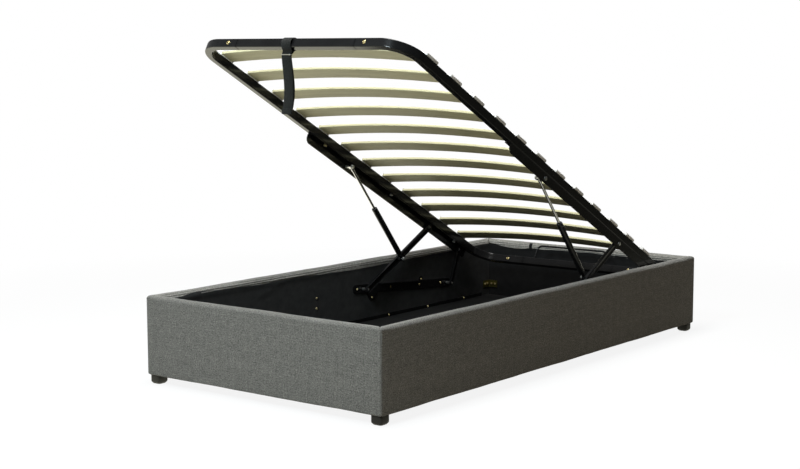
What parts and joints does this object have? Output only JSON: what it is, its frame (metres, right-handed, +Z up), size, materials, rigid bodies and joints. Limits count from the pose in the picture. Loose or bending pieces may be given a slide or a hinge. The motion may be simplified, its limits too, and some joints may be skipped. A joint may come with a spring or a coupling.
{
  "type": "ottoman storage bed",
  "caption": "Small single ottoman storage bed with a fabric box, gas struts and a lifting sprung-slat frame, shown open.",
  "frame": {"origin": "on the floor below the middle of the box", "axes": "+Y towards the hinged head end, +X to the right seen from the foot end, +Z up"},
  "size_m": [1, 1.985, 1.143],
  "materials": {
    "fabric_cover": "matte",
    "black_lining": "matte",
    "black_frame": "satin",
    "bright_zinc": "satin",
    "yellow_zinc": "satin",
    "slat_wood": "satin",
    "batten_wood": "matte",
    "box_board": "matte",
    "black_panel": "matte",
    "grey_plastic": "satin",
    "strut_rod": "polished",
    "black_webbing": "matte",
    "black_feet": "matte"
  },
  "bodies": {
    "storage_box": {"foot_board": "box_board", "foot_cover": "fabric_cover", "head_board": "box_board", "head_cover": "fabric_cover", "side_left_board": "box_board", "side_left_cover": "fabric_cover", "side_right_board": "box_board", "side_right_cover": "fabric_cover", "storage_lining": "black_lining", "corner_brackets": "bright_zinc", "assembly_screws": "yellow_zinc", "corner_foot_foot_left": "black_feet", "corner_foot_foot_right": "black_feet", "corner_foot_head_left": "black_feet", "corner_foot_head_right": "black_feet", "floor_angle_left": "black_frame", "floor_angle_right": "black_frame", "floor_battens": "batten_wood", "floor_panels": "black_panel", "hinge_rail_left": "black_frame", "hinge_rail_right": "black_frame", "hinge_rail_studs": "bright_zinc"},
    "front_arm_left_body": {"front_arm_left": "black_frame", "front_arm_bolts_left": "bright_zinc"},
    "rear_arm_left_body": {"rear_arm_left": "black_frame", "rear_arm_bolt_left": "bright_zinc"},
    "strut_cylinder_left_body": {"strut_cylinder_left": "black_frame"},
    "strut_rod_left_body": {"strut_rod_left": "strut_rod", "strut_rod_bolt_left": "bright_zinc"},
    "front_arm_right_body": {"front_arm_right": "black_frame", "front_arm_bolts_right": "bright_zinc"},
    "rear_arm_right_body": {"rear_arm_right": "black_frame", "rear_arm_bolt_right": "bright_zinc"},
    "strut_cylinder_right_body": {"strut_cylinder_right": "black_frame"},
    "strut_rod_right_body": {"strut_rod_right": "strut_rod", "strut_rod_bolt_right": "bright_zinc"},
    "lid_frame": {"lid_side_tube_left": "black_frame", "lid_side_tube_right": "black_frame", "lid_foot_tube": "black_frame", "lid_head_tube": "black_frame", "lid_bracket_left": "black_frame", "lid_bracket_right": "black_frame", "lid_fasteners": "yellow_zinc", "mattress_retainer": "black_frame", "slat_holders": "grey_plastic", "slat_01": "slat_wood", "slat_02": "slat_wood", "slat_03": "slat_wood", "slat_04": "slat_wood", "slat_05": "slat_wood", "slat_06": "slat_wood", "slat_07": "slat_wood", "slat_08": "slat_wood", "slat_09": "slat_wood", "slat_10": "slat_wood", "slat_11": "slat_wood", "slat_12": "slat_wood"},
    "strap_body": {"pull_strap": "black_webbing", "strap_keeper": "bright_zinc"}
  },
  "joints": [
    {"name": "front_arm_left_pivot", "type": "hinge", "parent": "storage_box", "child": "front_arm_left_body", "pos_m": [-0.44, 0.092, 0.187], "axis": [1, 0, 0], "range_deg": [-24.71, 0], "stiffness_Nm_per_rad": 100, "springref_deg": 148.97},
    {"name": "front_arm_right_pivot", "type": "hinge", "parent": "storage_box", "child": "front_arm_right_body", "pos_m": [0.44, 0.092, 0.187], "axis": [1, 0, 0], "range_deg": [-24.71, 0]},
    {"name": "lid_pivot", "type": "hinge", "parent": "front_arm_left_body", "child": "lid_frame", "pos_m": [-0.4445, 0.48475, 0.39408], "axis": [1, 0, 0], "range_deg": [0, 53.2]},
    {"name": "rear_arm_left_pivot", "type": "hinge", "parent": "storage_box", "child": "rear_arm_left_body", "pos_m": [-0.44, 0.64052, 0.14672], "axis": [1, 0, 0], "range_deg": [-43.2, 0]},
    {"name": "rear_arm_right_pivot", "type": "hinge", "parent": "storage_box", "child": "rear_arm_right_body", "pos_m": [0.44, 0.64052, 0.14672], "axis": [1, 0, 0], "range_deg": [-43.2, 0]},
    {"name": "strut_left_pivot", "type": "hinge", "parent": "front_arm_left_body", "child": "strut_cylinder_left_body", "pos_m": [-0.418, 0.28448, 0.28849], "axis": [1, 0, 0], "range_deg": [0, 73.7]},
    {"name": "strut_right_pivot", "type": "hinge", "parent": "front_arm_right_body", "child": "strut_cylinder_right_body", "pos_m": [0.418, 0.28448, 0.28849], "axis": [1, 0, 0], "range_deg": [0, 73.7]},
    {"name": "strut_left_slide", "type": "slide", "parent": "strut_cylinder_left_body", "child": "strut_rod_left_body", "axis": [0, -0.6312, 0.7756], "range_m": [-0.1375, 0]},
    {"name": "strut_right_slide", "type": "slide", "parent": "strut_cylinder_right_body", "child": "strut_rod_right_body", "axis": [0, -0.6312, 0.7756], "range_m": [-0.1375, 0]},
    {"name": "strap_swing", "type": "hinge", "parent": "lid_frame", "child": "strap_body", "pos_m": [-0.042, -0.79346, 1.12243], "axis": [1, 0, 0], "range_deg": [0, 61.7]}
  ],
  "couplings": [
    {"joint": "front_arm_right_pivot", "follows": "front_arm_left_pivot", "ratio": 1},
    {"joint": "lid_pivot", "follows": "front_arm_left_pivot", "ratio": -2.1493},
    {"joint": "rear_arm_left_pivot", "follows": "front_arm_left_pivot", "ratio": 1.7438},
    {"joint": "rear_arm_right_pivot", "follows": "front_arm_left_pivot", "ratio": 1.7438},
    {"joint": "strut_left_pivot", "follows": "front_arm_left_pivot", "ratio": -2.9786},
    {"joint": "strut_right_pivot", "follows": "front_arm_left_pivot", "ratio": -2.9786},
    {"joint": "strut_left_slide", "follows": "front_arm_left_pivot", "m_per_rad": 0.31829},
    {"joint": "strut_right_slide", "follows": "front_arm_left_pivot", "m_per_rad": 0.31829},
    {"joint": "strap_swing", "follows": "front_arm_left_pivot", "ratio": -2.4928}
  ]
}
